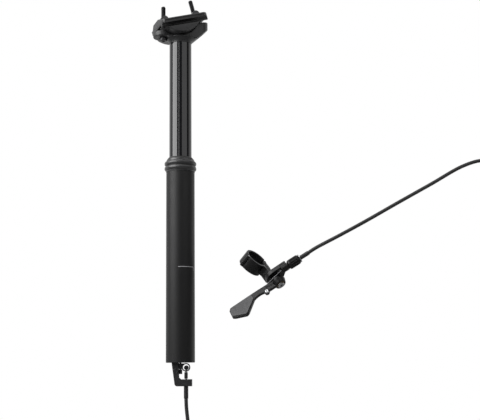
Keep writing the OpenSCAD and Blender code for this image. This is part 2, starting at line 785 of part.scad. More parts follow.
module remote_body() {
    knuckle_half = bar_clamp_w / 4;
    color("#222224") difference() {
        union() {
            in_bar_frame() difference() {
                union() {
                    bar_ring(false);
                    bar_arm();
                    strap_knuckle(-bar_clamp_w / 2, -knuckle_half - free_gap);
                    strap_knuckle(knuckle_half + free_gap, bar_clamp_w / 2);
                }
                translate([0, 0, -through / 2]) cylinder(r = bar_r, h = through);
                translate([0, strap_pin_y, -through / 2]) cylinder(r = strap_pin_r, h = through);
                translate([0, ear_y, 0]) long_cylinder(ear_hole_r, -ear_h - 10, through);
                knuckle_room(-knuckle_half - free_gap, knuckle_half + free_gap);
            }
            in_remote_frame() pivot_plate();
        }
        in_remote_frame() {
            translate([0, 0, plate_top]) cylinder(r = hub_r + 1.2, h = through);
            translate([0, 0, -through / 2]) cylinder(r = pivot_r, h = through);
            translate([0, cable_y, 0]) long_cylinder(wire_r + free_gap, 0, boss_end + 1);
            translate([0, cable_y, 0])
                long_cylinder(adjuster_stem_r + running_gap, boss_end - stem_depth - free_gap, boss_end + 1);
        }
    }
}

module bar_clamp_strap() {
    knuckle_half = bar_clamp_w / 4;
    color("#262628") in_bar_frame() difference() {
        union() {
            bar_ring(true);
            strap_knuckle(-knuckle_half, knuckle_half);
        }
        translate([0, 0, -through / 2]) cylinder(r = bar_r, h = through);
        translate([0, strap_pin_y, -through / 2]) cylinder(r = strap_pin_r, h = through);
        knuckle_room(-through, -knuckle_half);
        knuckle_room(knuckle_half, through);
    }
}

module strap_hinge_pin() {
    color("#8e9196") in_bar_frame() translate([0, strap_pin_y, -bar_clamp_w / 2])
        cylinder(r = strap_pin_r, h = bar_clamp_w);
}

module bar_clamp_screw() {
    color("#17171a") in_bar_frame() translate([0, ear_y, 0]) {
        long_cylinder(1.5, -strap_gap - ear_h, strap_gap + ear_h + eps);
        difference() {
            long_cylinder(2.75, strap_gap + ear_h, strap_gap + ear_h + 3);
            translate([strap_gap + ear_h + 1.4, 0, 0]) rotate([0, 90, 0])
                cylinder(r = 1.4, h = 3, $fn = 6);
        }
    }
}

// Outline of the thumb paddle, seen the way the pad faces, drawn in by an inset
module paddle_outline(inset) {
    polygon([
        [-33.6, -0.4 + inset], [-60.6 + inset, 0.4 + inset], [-63.4 + inset, 3.4 + inset],
        [-64.2 + inset, 12 - inset * 0.4], [-61.5 + inset, 14.2 - inset],
        [-49.5, 19.6 - inset], [-46.6 - inset * 0.4, 18.6 - inset], [-33.6, 7.6 - inset]]);
}

module thumb_lever() {
    color("#19191b") in_remote_frame() difference() {
        union() {
            translate([0, 0, hub_bottom]) cylinder(r = hub_waist_r, h = hub_shoulder - hub_bottom);
            translate([0, 0, hub_shoulder - eps])
                cylinder(r1 = hub_r, r2 = hub_r - 1.8, h = hub_top - hub_shoulder);
            translate([0, paddle_face, 0]) rotate([90, 0, 0]) linear_extrude(paddle_t) {
                paddle_outline(0);
                polygon([[-33.7, -0.4], [-14, -0.4], [-5, 0.4], [-3, 8], [-9, 8], [pinch_at.x, 8],
                    [-20.5, 6.6], [-24, 5.9], [-28, 6], [-31.5, 6.7], [-33.7, 7.6]]);
                translate([pinch_at.x, pinch_at.z - 1]) circle(r = pinch_boss_r);
            }
        }
        translate([0, 0, -20]) cylinder(r = lever_bush_r + running_gap, h = 60);
        translate([pinch_at.x, 0, pinch_at.z]) cross_cylinder(1.2, 40);
    }
}

module thumb_pad() {
    color("#5a5b5e") in_remote_frame() translate([0, paddle_face + pad_t, 0]) rotate([90, 0, 0])
        linear_extrude(pad_t) paddle_outline(1.1);
}

module lever_bushing() {
    color("#b9a15e") in_remote_frame() translate([0, 0, hub_bottom - free_gap])
        ring(lever_bush_r, pivot_r, hub_top - hub_bottom + free_gap);
}

module pivot_bolt() {
    head_h = 1.6;
    color("#c4c7cb") in_remote_frame() difference() {
        union() {
            translate([0, 0, plate_top - plate_h])
                cylinder(r = pivot_r, h = hub_top + plate_h - plate_top + eps);
            translate([0, 0, hub_top + free_gap / 3]) cylinder(r = pivot_head_d / 2, h = head_h);
            translate([0, 0, hub_top - eps]) cylinder(r = pivot_r, h = free_gap);
        }
        translate([0, 0, hub_top + head_h - 1.6]) cylinder(r = 1.7, h = 4, $fn = 6);
    }
}

module wire_pinch_screw() {
    color("#c4c7cb") in_remote_frame() translate([pinch_at.x, paddle_face, pinch_at.z]) {
        rotate([90, 0, 0]) cylinder(r = 1.2, h = paddle_t);
        rotate([-90, 0, 0]) difference() {
            cylinder(r = 2, h = 2.2);
            translate([0, 0, 1]) cylinder(r = 0.9, h = 2, $fn = 6);
        }
    }
}

module remote_wire() {
    start = [boss_start, cable_y, 0];
    run = anchor_at - start;
    flat = norm([run.x, run.y]);
    color("#b4b7bb") in_remote_frame() translate(start)
        rotate([0, atan2(flat, run.z), atan2(run.y, run.x)])
            cylinder(r = wire_r / 2, h = norm(run), $fn = 16);
}

// Grip of the barrel adjuster, turned with rounded ends
module adjuster_grip() {
    r = adjuster_d / 2;
    ends = [for (a = [0 : 15 : 90]) adjuster_round * [sin(a) - 1, 1 - cos(a)]];
    translate([adjuster_start, 0, 0]) rotate([0, 90, 0]) rotate_extrude() polygon(concat(
        [[0, 0]],
        [for (p = ends) [r + p.x, p.y]],
        [for (i = [len(ends) - 1 : -1 : 0]) [r + ends[i].x, adjuster_length - ends[i].y]],
        [[0, adjuster_length]]));
}

module barrel_adjuster() {
    flutes = 12;
    color("#1c1c1e") in_remote_frame() translate([0, cable_y, 0]) difference() {
        union() {
            long_cylinder(adjuster_stem_r, boss_end - stem_depth, adjuster_start + eps);
            adjuster_grip();
        }
        long_cylinder(wire_r + free_gap, boss_end - stem_depth - 1, adjuster_end + 1);
        long_cylinder(ferrule_r + running_gap, adjuster_end - 4, adjuster_end + 1);
        for (i = [0 : flutes - 1]) rotate([i * 360 / flutes, 0, 0])
            translate([0, adjuster_d / 2 + 0.35, 0])
                long_cylinder(1, adjuster_start + adjuster_round + 0.6, adjuster_end - adjuster_round - 0.6);
    }
}

module adjuster_ring() {
    color("#c4c7cb") in_remote_frame() translate([adjuster_end, cable_y, 0]) rotate([0, 90, 0])
        ring(adjuster_d / 2 - 0.8, ferrule_r + running_gap, ring_h);
}

module remote_ferrule() {
    color("#242426") in_remote_frame() translate([0, cable_y, 0]) difference() {
        long_cylinder(ferrule_r, adjuster_end - 4, remote_ferrule_end);
        long_cylinder(wire_r + free_gap, adjuster_end - 5, remote_ferrule_end + 1);
    }
}

outer_tube();
seal_collar();
wiper_seal();
collar_o_ring();
upper_bushing();
stanchion();
saddle_head();
lower_bushing();
anti_rotation_keys();
stanchion_end_nut();
cartridge_body();
cartridge_gland();
cartridge_rod();
cartridge_piston();
bottom_bumper();
base_plug();
base_circlip();
actuator_bracket();
hook_lever();
hook_pivot_pin();
release_rod();
release_nut();
cable_head();
post_wire();
post_ferrule();
cable_housing();
lower_rail_clamp();
upper_rail_clamp();
front_clamp_bolt();
rear_clamp_bolt();
bolt_washers();
front_barrel_nut();
rear_barrel_nut();
remote_body();
bar_clamp_strap();
strap_hinge_pin();
bar_clamp_screw();
thumb_lever();
thumb_pad();
lever_bushing();
pivot_bolt();
wire_pinch_screw();
remote_wire();
barrel_adjuster();
adjuster_ring();
remote_ferrule();
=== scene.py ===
"""Looks of the dropper seatpost: its finished pieces, materials, studio light and camera."""
import json
import math

import bmesh
import bpy
from mathutils import Matrix, Vector


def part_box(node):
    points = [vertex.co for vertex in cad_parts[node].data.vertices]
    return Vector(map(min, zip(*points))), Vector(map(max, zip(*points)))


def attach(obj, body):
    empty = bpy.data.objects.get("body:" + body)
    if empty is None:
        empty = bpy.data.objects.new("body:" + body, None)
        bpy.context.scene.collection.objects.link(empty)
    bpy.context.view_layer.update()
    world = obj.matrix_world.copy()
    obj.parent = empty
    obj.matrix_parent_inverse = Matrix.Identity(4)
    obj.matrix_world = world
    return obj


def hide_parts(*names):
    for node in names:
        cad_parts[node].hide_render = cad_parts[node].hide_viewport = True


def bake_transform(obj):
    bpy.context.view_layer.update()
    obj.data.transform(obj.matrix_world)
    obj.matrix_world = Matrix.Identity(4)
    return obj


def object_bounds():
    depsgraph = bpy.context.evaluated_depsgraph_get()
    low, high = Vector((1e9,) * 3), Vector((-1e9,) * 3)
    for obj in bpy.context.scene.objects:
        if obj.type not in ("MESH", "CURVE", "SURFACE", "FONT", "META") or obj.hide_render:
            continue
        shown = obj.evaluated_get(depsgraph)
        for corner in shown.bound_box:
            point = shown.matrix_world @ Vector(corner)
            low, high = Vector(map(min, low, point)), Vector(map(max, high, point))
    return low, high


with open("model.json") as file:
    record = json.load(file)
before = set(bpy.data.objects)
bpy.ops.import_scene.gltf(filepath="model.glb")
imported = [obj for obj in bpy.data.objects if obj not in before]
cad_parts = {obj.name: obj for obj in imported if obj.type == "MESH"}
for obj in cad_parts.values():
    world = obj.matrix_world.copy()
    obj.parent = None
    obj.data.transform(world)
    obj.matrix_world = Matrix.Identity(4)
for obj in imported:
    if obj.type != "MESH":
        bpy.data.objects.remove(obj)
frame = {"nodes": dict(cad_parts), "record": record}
cad_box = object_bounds()

# Sizes in millimetres, as the construction has them
MM = 0.001
FOOT_TURN = math.radians(-20)
RAIL_TILT = math.radians(16)
REMOTE_CLIMB = math.radians(32)
REMOTE_ROLL = math.radians(148)
REMOTE_AT = Vector((106.5, 5, -120.5))
CRADLE_AT = Vector((-7.5, 0, 182.8))
CABLE_Y = 11
EYE_X = 6.1
HOUSING_D = 4


def node_span(node, axis):
    """Lowest and highest coordinate of a construction node along one axis, in millimetres."""
    low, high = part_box(node)
    return low[axis] / MM, high[axis] / MM


def node_radius(node):
    """Radius of a round node that stands on the post axis, in millimetres."""
    low, high = node_span(node, 0)
    return (high - low) / 2


TUBE_R = node_radius("outer_tube")
TUBE_BOTTOM = node_span("outer_tube", 2)[0]
STANCHION_R = node_radius("stanchion")
STANCHION_BOTTOM, NECK_Z = node_span("stanchion", 2)
COLLAR_R = node_radius("seal_collar")
COLLAR_TOP = node_span("seal_collar", 2)[1]
LIP_TOP = node_span("wiper_seal", 2)[1]
LIP_R = node_radius("wiper_seal")
FERRULE_BOTTOM = node_span("post_ferrule", 2)[0]


# Frames that turn local millimetres into metres
def turn(angle, axis):
    """A turn about one axis, in radians."""
    return Matrix.Rotation(angle, 4, axis)


POST = Matrix.Scale(MM, 4)
FOOT = POST @ turn(FOOT_TURN, "Z")
REMOTE = FOOT @ Matrix.Translation(REMOTE_AT) @ turn(-REMOTE_CLIMB, "Y") @ turn(REMOTE_ROLL, "X")
CABLE = REMOTE @ Matrix.Translation((0, CABLE_Y, 0)) @ turn(math.pi / 2, "Y")


def centred_on(node, place):
    """A frame with the turn of another, moved to the middle of a construction node."""
    low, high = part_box(node)
    moved = place.copy()
    moved.translation = [(a + b) / 2 for a, b in zip(low, high)]
    return moved


# Route of the cable housing: distance to the right of the post and height, in the foot's plane
HOUSING_ROUTE = [
    (6, -249), (6.5, -258), (8, -272), (10, -289), (14, -309), (22, -332),
    (37, -356), (61, -378), (94, -393), (132, -400), (176, -400), (220, -392),
    (260, -376), (296, -352), (326, -320), (350, -281), (367, -236), (378, -189),
    (384, -141), (386, -96), (384, -54), (376, -20), (361, 2), (340, 10),
    (314, 3), (280, -16), (240, -38), (206, -57), (176, -73),
]
HOUSING_STEPS = 6
HOUSING_SWAY_FROM = 20
FERRULE_OUT = 44.2
STRAIGHT_AT_END = 12


# Shapes
def mesh_piece(name, bm, material, smooth=True):
    """Turn a bmesh into an object at the origin."""
    for face in bm.faces:
        face.smooth = smooth
    mesh = bpy.data.meshes.new(name)
    bm.to_mesh(mesh)
    bm.free()
    obj = bpy.data.objects.new(name, mesh)
    bpy.context.scene.collection.objects.link(obj)
    mesh.materials.append(material)
    return obj


def dress(obj, body, slot, *nodes):
    """Let a finished piece ride on its body and stand for its construction nodes."""
    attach(obj, body)
    if nodes:
        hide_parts(*nodes)
    return obj


def sharpen(obj, angle=35):
    """Keep edges crisp where two faces meet at more than this angle, in degrees."""
    bm = bmesh.new()
    bm.from_mesh(obj.data)
    for edge in bm.edges:
        edge.smooth = edge.calc_face_angle(0) < math.radians(angle)
    bm.to_mesh(obj.data)
    bm.free()


def arc(centre, radius, start, end, steps):
    """Points on an arc of a profile, angles in degrees from the outward direction."""
    turns = [math.radians(start + (end - start) * i / steps) for i in range(steps + 1)]
    return [(centre[0] + radius * math.cos(a), centre[1] + radius * math.sin(a)) for a in turns]


def turned(name, profile, place, material, segments=96):
    """A closed profile of (radius, height) points turned round the Z axis of a frame.

    A radius may be a function of the angle, for sockets and threads."""
    bm = bmesh.new()
    rings = []
    for i in range(segments):
        a = 2 * math.pi * i / segments
        ring = []
        for radius, h in profile:
            r = radius(a) if callable(radius) else radius
            ring.append(bm.verts.new(place @ Vector((r * math.cos(a), r * math.sin(a), h))))
        rings.append(ring)
    n = len(profile)
    for i in range(segments):
        near, far = rings[i], rings[(i + 1) % segments]
        for k in range(n):
            bm.faces.new((near[k], far[k], far[(k + 1) % n], near[(k + 1) % n]))
    bmesh.ops.remove_doubles(bm, verts=bm.verts, dist=1e-7)
    bmesh.ops.recalc_face_normals(bm, faces=bm.faces)
    obj = mesh_piece(name, bm, material)
    sharpen(obj)
    return obj


def hexagon(flat):
    """Radius of a hexagon over the angle, from half its width across flats."""
    sixth = math.pi / 3
    return lambda a: flat / math.cos((a + sixth / 2) % sixth - sixth / 2)


def thread(crest, depth, pitch, height):
    """Radius of a screw thread over the angle at one height."""
    slope, flat = 1.4, 0.2

    def radius(a):
        phase = (height / pitch - a / (2 * math.pi)) % 1
        return crest - depth * min(1, max(0, abs(2 * phase - 1) * slope - flat))

    return radius


def swept(name, points, radius, material, sides=24):
    """A closed round tube along points in metres."""
    bm = bmesh.new()
    rings = []
    side = None
    for i, p in enumerate(points):
        along = (points[min(i + 1, len(points) - 1)] - points[max(i - 1, 0)]).normalized()
        if side is None:
            side = along.orthogonal().normalized()
        side = (side - along * side.dot(along)).normalized()
        other = along.cross(side)
        angles = [2 * math.pi * k / sides for k in range(sides)]
        around = [math.cos(a) * side + math.sin(a) * other for a in angles]
        rings.append([bm.verts.new(p + radius * outward) for outward in around])
    for near, far in zip(rings, rings[1:]):
        for k in range(sides):
            j = (k + 1) % sides
            bm.faces.new((near[k], near[j], far[j], far[k]))
    bm.faces.new(list(reversed(rings[0])))
    bm.faces.new(rings[-1])
    bmesh.ops.recalc_face_normals(bm, faces=bm.faces)
    return mesh_piece(name, bm, material)


def cast_copy(name, node, material, voxel, rounds):
    """A merged copy of a construction node with its edges rounded over, as on a forging."""
    bm = bmesh.new()
    bm.from_mesh(frame["nodes"][node].data)
    bmesh.ops.remove_doubles(bm, verts=bm.verts, dist=1e-6)
    obj = mesh_piece(name, bm, material)
    remesh = obj.modifiers.new("skin", "REMESH")
    remesh.mode = "VOXEL"
    remesh.voxel_size = voxel * MM
    remesh.use_smooth_shade = True
    smooth = obj.modifiers.new("round", "SMOOTH")
    smooth.factor = 0.5
    smooth.iterations = rounds
    return bake_modifiers(obj)


def bevel_copy(name, node, material, width, segments=2):
    """A merged copy of a construction node with its edges broken by a small bevel."""
    flat_below, bevel_from, sharp_from = 0.5, 32, 40
    bm = bmesh.new()
    bm.from_mesh(frame["nodes"][node].data)
    bmesh.ops.remove_doubles(bm, verts=bm.verts, dist=1e-6)
    bmesh.ops.dissolve_limit(bm, angle_limit=math.radians(flat_below), verts=bm.verts, edges=bm.edges)
    obj = mesh_piece(name, bm, material)
    bevel = obj.modifiers.new("edges", "BEVEL")
    bevel.width = width * MM
    bevel.segments = segments
    bevel.limit_method = "ANGLE"
    bevel.angle_limit = math.radians(bevel_from)
    bevel.harden_normals = True
    bake_modifiers(obj)
    sharpen(obj, sharp_from)
    return obj


def bake_modifiers(obj):
    """Replace an object's mesh by its evaluated one and remove the modifiers."""
    evaluated = obj.evaluated_get(bpy.context.evaluated_depsgraph_get())
    mesh = bpy.data.meshes.new_from_object(evaluated)
    obj.modifiers.clear()
    obj.data = mesh
    return obj


# Materials
def new_material(name, colour, metallic, roughness, gloss=0.5):
    """A Principled material with its plain values set on the shader's own sockets."""
    material = bpy.data.materials.new(name)
    material.use_nodes = True
    shader = material.node_tree.nodes["Principled BSDF"]
    shader.inputs["Base Color"].default_value = (*colour, 1)
    shader.inputs["Metallic"].default_value = metallic
    shader.inputs["Roughness"].default_value = roughness
    shader.inputs["Specular IOR Level"].default_value = gloss
    return material, shader


def grain_group():
    """Fine surface grain: a height for bumps and a value that varies slowly for roughness."""
    tree = bpy.data.node_groups.new("surface grain", "ShaderNodeTree")
    for label, value in (("Scale", 1000.0), ("Patch Scale", 40.0)):
        socket = tree.interface.new_socket(label, in_out="INPUT", socket_type="NodeSocketFloat")
        socket.default_value = value
    for label in ("Height", "Patch"):
        tree.interface.new_socket(label, in_out="OUTPUT", socket_type="NodeSocketFloat")
    nodes, links = tree.nodes, tree.links
    inputs = nodes.new("NodeGroupInput")
    outputs = nodes.new("NodeGroupOutput")
    coords = nodes.new("ShaderNodeTexCoord")
    for label, output, detail in (("Scale", "Height", 3), ("Patch Scale", "Patch", 4)):
        noise = nodes.new("ShaderNodeTexNoise")
        noise.inputs["Detail"].default_value = detail
        links.new(coords.outputs["Object"], noise.inputs["Vector"])
        links.new(inputs.outputs[label], noise.inputs["Scale"])
        links.new(noise.outputs["Fac"], outputs.inputs[output])
    return tree


GRAIN = grain_group()


def edge_wear_group():
    """Mask of rubbed edges: where the surface turns sharply outwards, broken up by noise."""
    tree = bpy.data.node_groups.new("edge wear", "ShaderNodeTree")
    for label, value in (("Sharpness", 0.52), ("Break Up", 300.0)):
        socket = tree.interface.new_socket(label, in_out="INPUT", socket_type="NodeSocketFloat")
        socket.default_value = value
    tree.interface.new_socket("Mask", in_out="OUTPUT", socket_type="NodeSocketFloat")
    nodes, links = tree.nodes, tree.links
    inputs = nodes.new("NodeGroupInput")
    outputs = nodes.new("NodeGroupOutput")
    shape = nodes.new("ShaderNodeNewGeometry")
    coords = nodes.new("ShaderNodeTexCoord")
    noise = nodes.new("ShaderNodeTexNoise")
    noise.inputs["Detail"].default_value = 4
    links.new(coords.outputs["Object"], noise.inputs["Vector"])
    links.new(inputs.outputs["Break Up"], noise.inputs["Scale"])
    edge = nodes.new("ShaderNodeMapRange")
    edge.inputs["From Max"].default_value = 0.62
    links.new(shape.outputs["Pointiness"], edge.inputs["Value"])
    links.new(inputs.outputs["Sharpness"], edge.inputs["From Min"])
    patches = nodes.new("ShaderNodeMapRange")
    patches.inputs["From Min"].default_value = 0.4
    patches.inputs["From Max"].default_value = 0.65
    links.new(noise.outputs["Fac"], patches.inputs["Value"])
    both = nodes.new("ShaderNodeMath")
    both.operation = "MULTIPLY"
    links.new(edge.outputs["Result"], both.inputs[0])
    links.new(patches.outputs["Result"], both.inputs[1])
    links.new(both.outputs["Value"], outputs.inputs["Mask"])
    return tree


EDGE_WEAR = edge_wear_group()


# Sockets of a Mix node that is set to colours
MIX_A, MIX_B, MIX_RESULT = 6, 7, 2
PRINT_COLOUR = (0.3, 0.3, 0.31, 1)


def mix_colour(material, mask, colour):
    """Let a second colour show on a material where a mask is set."""
    nodes, links = material.node_tree.nodes, material.node_tree.links
    shader = nodes["Principled BSDF"]
    mix = nodes.new("ShaderNodeMix")
    mix.data_type = "RGBA"
    mix.inputs[MIX_A].default_value = shader.inputs["Base Color"].default_value
    mix.inputs[MIX_B].default_value = colour
    links.new(mask, mix.inputs["Factor"])
    links.new(mix.outputs[MIX_RESULT], shader.inputs["Base Color"])
    return material


def add_wear(material, worn_colour, sharpness=0.52, break_up=300):
    """Lighten a material a little along its edges."""
    wear = material.node_tree.nodes.new("ShaderNodeGroup")
    wear.node_tree = EDGE_WEAR
    wear.inputs["Sharpness"].default_value = sharpness
    wear.inputs["Break Up"].default_value = break_up
    return mix_colour(material, wear.outputs["Mask"], (*worn_colour, 1))


def print_line(material, height, half_width, start, end, tick):
    """A thin printed line round part of a tube, with a tick down its far end; bearings in degrees."""
    nodes, links = material.node_tree.nodes, material.node_tree.links

    def math_node(operation, a, b=None, c=None):
        node = nodes.new("ShaderNodeMath")
        node.operation = operation
        for socket, value in zip(node.inputs, (a, b, c)):
            if isinstance(value, (int, float)):
                socket.default_value = value
            elif value is not None:
                links.new(value, socket)
        return node.outputs["Value"]

    coords = nodes.new("ShaderNodeTexCoord")
    split = nodes.new("ShaderNodeSeparateXYZ")
    links.new(coords.outputs["Object"], split.inputs["Vector"])
    bearing = math_node("ARCTAN2", split.outputs["Y"], split.outputs["X"])
    middle = math.radians((start + end) / 2)
    reach = math.radians((end - start) / 2)
    on_line = math_node("COMPARE", split.outputs["Z"], height, half_width)
    along = math_node("COMPARE", bearing, middle, reach)
    line = math_node("MULTIPLY", on_line, along)
    at_end = math_node("COMPARE", bearing, math.radians(end), half_width / (TUBE_R * MM))
    below = math_node("COMPARE", split.outputs["Z"], height - tick / 2, tick / 2)
    mask = math_node("MAXIMUM", line, math_node("MULTIPLY", at_end, below))
    return mix_colour(material, mask, PRINT_COLOUR)


def add_grain(material, shader, scale, bump, roughness_range, patch_scale=40):
    """Give a material its grain: a fine bump, and a roughness that varies over the surface."""
    nodes, links = material.node_tree.nodes, material.node_tree.links
    grain = nodes.new("ShaderNodeGroup")
    grain.node_tree = GRAIN
    grain.inputs["Scale"].default_value = scale
    grain.inputs["Patch Scale"].default_value = patch_scale
    bump_node = nodes.new("ShaderNodeBump")
    bump_node.inputs["Strength"].default_value = bump
    bump_node.inputs["Distance"].default_value = 0.0002
    links.new(grain.outputs["Height"], bump_node.inputs["Height"])
    links.new(bump_node.outputs["Normal"], shader.inputs["Normal"])
    spread = nodes.new("ShaderNodeMapRange")
    spread.inputs["From Min"].default_value = 0.3
    spread.inputs["From Max"].default_value = 0.7
    spread.inputs["To Min"].default_value = roughness_range[0]
    spread.inputs["To Max"].default_value = roughness_range[1]
    links.new(grain.outputs["Patch"], spread.inputs["Value"])
    links.new(spread.outputs["Result"], shader.inputs["Roughness"])
    return material


def finish(name, colour, metallic, roughness_range, scale, bump, gloss=0.5):
    """A finish with its colour, its grain and its roughness range."""
    material, shader = new_material(name, colour, metallic, roughness_range[0], gloss)
    return add_grain(material, shader, scale, bump, roughness_range)


SATIN = ((0.006, 0.006, 0.0063), 0, (0.42, 0.5), 4000, 0.05, 0.28)
BLASTED = ((0.013, 0.013, 0.0137), 0, (0.38, 0.48), 2600, 0.2, 0.4)
SATIN_BLACK = finish("satin black anodising", *SATIN)
GLOSS_BLACK = finish("glossy hard anodising", (0.006, 0.006, 0.007), 0, (0.05, 0.08), 3000, 0.01)
BLASTED_BLACK = finish("bead-blasted black", *BLASTED)
FORGED_BLACK = finish("forged bead-blasted black", *BLASTED)
COLLAR_BLACK = finish("collar black", (0.016, 0.016, 0.017), 0, (0.36, 0.42), 3000, 0.05, 0.6)
BLACK_RUBBER = finish("black seal rubber", (0.01, 0.01, 0.01), 0, (0.5, 0.6), 1500, 0.15)
PAD_RUBBER = finish("grey pad rubber", (0.062, 0.062, 0.064), 0, (0.6, 0.7), 1800, 0.3)
POLYMER = finish("bearing polymer", (0.5, 0.38, 0.18), 0, (0.4, 0.5), 1500, 0.1)
BRASS = finish("turned brass", (0.6, 0.42, 0.14), 1, (0.25, 0.35), 2500, 0.05)
BLACK_STEEL = finish("black oxide steel", (0.035, 0.035, 0.037), 0.6, (0.3, 0.4), 3000, 0.08)
BARE_STEEL = finish("bright steel", (0.42, 0.425, 0.435), 1, (0.24, 0.34), 3000, 0.05)
WIRE_STEEL = finish("drawn wire", (0.16, 0.16, 0.165), 1, (0.35, 0.5), 3000, 0.1)
BARE_ALUMINIUM = finish("turned aluminium", (0.55, 0.56, 0.58), 1, (0.28, 0.38), 2500, 0.06)
REMOTE_BLACK = finish("remote black", (0.005, 0.005, 0.0052), 0, (0.3, 0.4), 2600, 0.1, 0.24)
FERRULE_BLACK = finish("ferrule black", (0.01, 0.01, 0.0105), 0, (0.35, 0.42), 2600, 0.06)
HOUSING_BLACK = finish("housing sheath", (0.012, 0.012, 0.012), 0, (0.4, 0.48), 2000, 0.08)
TUBE_BLACK = finish("printed tube black", *SATIN)
print_line(TUBE_BLACK, height=-0.107, half_width=0.0003, start=-116, end=-44, tick=0.004)
add_wear(BLASTED_BLACK, (0.03, 0.03, 0.031), sharpness=0.58)
add_wear(REMOTE_BLACK, (0.02, 0.02, 0.021), sharpness=0.58)
add_wear(COLLAR_BLACK, (0.05, 0.05, 0.052), sharpness=0.5)
FINISH_OF_SLOT = {
    "satin_black": SATIN_BLACK, "gloss_black": GLOSS_BLACK, "blasted_black": BLASTED_BLACK,
    "black_rubber": BLACK_RUBBER, "pad_rubber": PAD_RUBBER, "polymer_bush": POLYMER, "brass": BRASS,
    "black_steel": BLACK_STEEL, "bare_steel": BARE_STEEL, "bare_aluminium": BARE_ALUMINIUM,
    "remote_black": REMOTE_BLACK, "ferrule_black": FERRULE_BLACK, "housing_black": HOUSING_BLACK,
}
SLOT_OF_NODE = {part["node"]: part["material_slot"] for part in frame["record"]["subparts"]}
for node_name, node_object in frame["nodes"].items():
    node_object.data.materials.clear()
    node_object.data.materials.append(FINISH_OF_SLOT[SLOT_OF_NODE[node_name]])


# Cable housing, the free cord from the post ferrule to the remote ferrule
def housing_path():
    """Smooth points along the housing, in metres."""
    start = Vector((EYE_X, 0, FERRULE_BOTTOM))
    to_remote = FOOT.inverted() @ CABLE
    end = to_remote @ Vector((0, 0, FERRULE_OUT))
    before_end = to_remote @ Vector((0, 0, FERRULE_OUT + STRAIGHT_AT_END))
    last = len(HOUSING_ROUTE) - 1
    knots = [start]
    for i, (across, height) in enumerate(HOUSING_ROUTE[1:], 1):
        sway = max(0, i - HOUSING_SWAY_FROM + 1) / (last - HOUSING_SWAY_FROM + 1)
        knots.append(Vector((across, end.y * sway, height)))
    knots += [before_end, end]
    n = len(knots)
    points = []
    for i in range(n - 1):
        a, b, c, d = (knots[max(i - 1, 0)], knots[i], knots[i + 1], knots[min(i + 2, n - 1)])
        for step in range(HOUSING_STEPS):
            t = step / HOUSING_STEPS
            points.append(0.5 * (2 * b + (c - a) * t + (2 * a - 5 * b + 4 * c - d) * t * t
                                 + (3 * b - a - 3 * c + d) * t * t * t))
    points.append(knots[-1])
    return [FOOT @ p for p in points]


def make_housing():
    """The housing as one hanging cord."""
    path = housing_path()
    housing = swept("cable_housing_sheath", path, HOUSING_D / 2 * MM, HOUSING_BLACK)
    dress(housing, "outer_post", "housing_black", "cable_housing")


# Turned pieces on the post axis
def make_post():
    """Tube, stanchion, collar and wiper seal."""
    tube_wall, stanchion_wall, spigot_h, seal_seat = 1.8, 1.6, 8, 9
    bore_r = TUBE_R - tube_wall
    spigot_r = TUBE_R - 0.6
    tube = turned("outer_tube_shell", [
        (bore_r, TUBE_BOTTOM + 0.5), (bore_r + 0.5, TUBE_BOTTOM), (TUBE_R - 0.4, TUBE_BOTTOM),
        (TUBE_R, TUBE_BOTTOM + 0.4), (TUBE_R, -0.3), (TUBE_R - 0.3, 0), (spigot_r, 0),
        (spigot_r, spigot_h), (bore_r, spigot_h)], POST, TUBE_BLACK, 160)
    dress(tube, "outer_post", "satin_black", "outer_tube")
    stanchion = turned("stanchion_shaft", [
        (STANCHION_R - stanchion_wall, STANCHION_BOTTOM), (STANCHION_R - 0.4, STANCHION_BOTTOM),
        (STANCHION_R, STANCHION_BOTTOM + 0.4), (STANCHION_R, NECK_Z),
        (STANCHION_R - stanchion_wall, NECK_Z)],
        POST, GLOSS_BLACK, 160)
    dress(stanchion, "inner_post", "gloss_black", "stanchion")
    band = 3
    seat_r = STANCHION_R + 2
    inner_r = STANCHION_R + 0.3
    collar = turned("seal_collar_bands", [(spigot_r, 0), (TUBE_R + 0.2, 0)]
                    + arc((COLLAR_R - band, 4), band, -60, 60, 14)
                    + arc((COLLAR_R - band, 9.4), band, -60, 75, 16)
                    + [(seat_r + 0.9, COLLAR_TOP), (seat_r, COLLAR_TOP), (seat_r, seal_seat),
                       (inner_r, seal_seat), (inner_r, spigot_h), (spigot_r, spigot_h)],
                    POST, COLLAR_BLACK, 160)
    dress(collar, "outer_post", "satin_black", "seal_collar")
    seal = turned("wiper_seal_lip", [(inner_r, seal_seat), (LIP_R, seal_seat), (LIP_R, COLLAR_TOP + 0.6)]
                  + arc((LIP_R - 0.8, COLLAR_TOP + 0.7), 0.8, 0, 60, 5)
                  + [(inner_r + 0.5, LIP_TOP), (inner_r, LIP_TOP)], POST, BLACK_RUBBER, 128)
    dress(seal, "outer_post", "black_rubber", "wiper_seal")


# Forged, moulded and small turned pieces
def make_castings():
    """Forged and moulded pieces: rounded copies of the construction's solids."""
    for node, body, slot, material, voxel, rounds in (
            ("saddle_head", "inner_post", "blasted_black", BLASTED_BLACK, 0.4, 10),
            ("remote_body", "outer_post", "remote_black", REMOTE_BLACK, 0.3, 4),
            ("bar_clamp_strap", "outer_post", "remote_black", REMOTE_BLACK, 0.3, 4),
            ("thumb_lever", "lever", "remote_black", REMOTE_BLACK, 0.3, 5),
            ("actuator_bracket", "outer_post", "blasted_black", BLASTED_BLACK, 0.2, 3),
            ("hook_lever", "hook", "black_steel", BLACK_STEEL, 0.15, 3)):
        dress(cast_copy(node + "_casting", node, material, voxel, rounds), body, slot, node)
    for node in ("lower_rail_clamp", "upper_rail_clamp"):
        forging = bevel_copy(node + "_forging", node, FORGED_BLACK, 0.35, 3)
        dress(forging, "rail_clamp", "blasted_black", node)


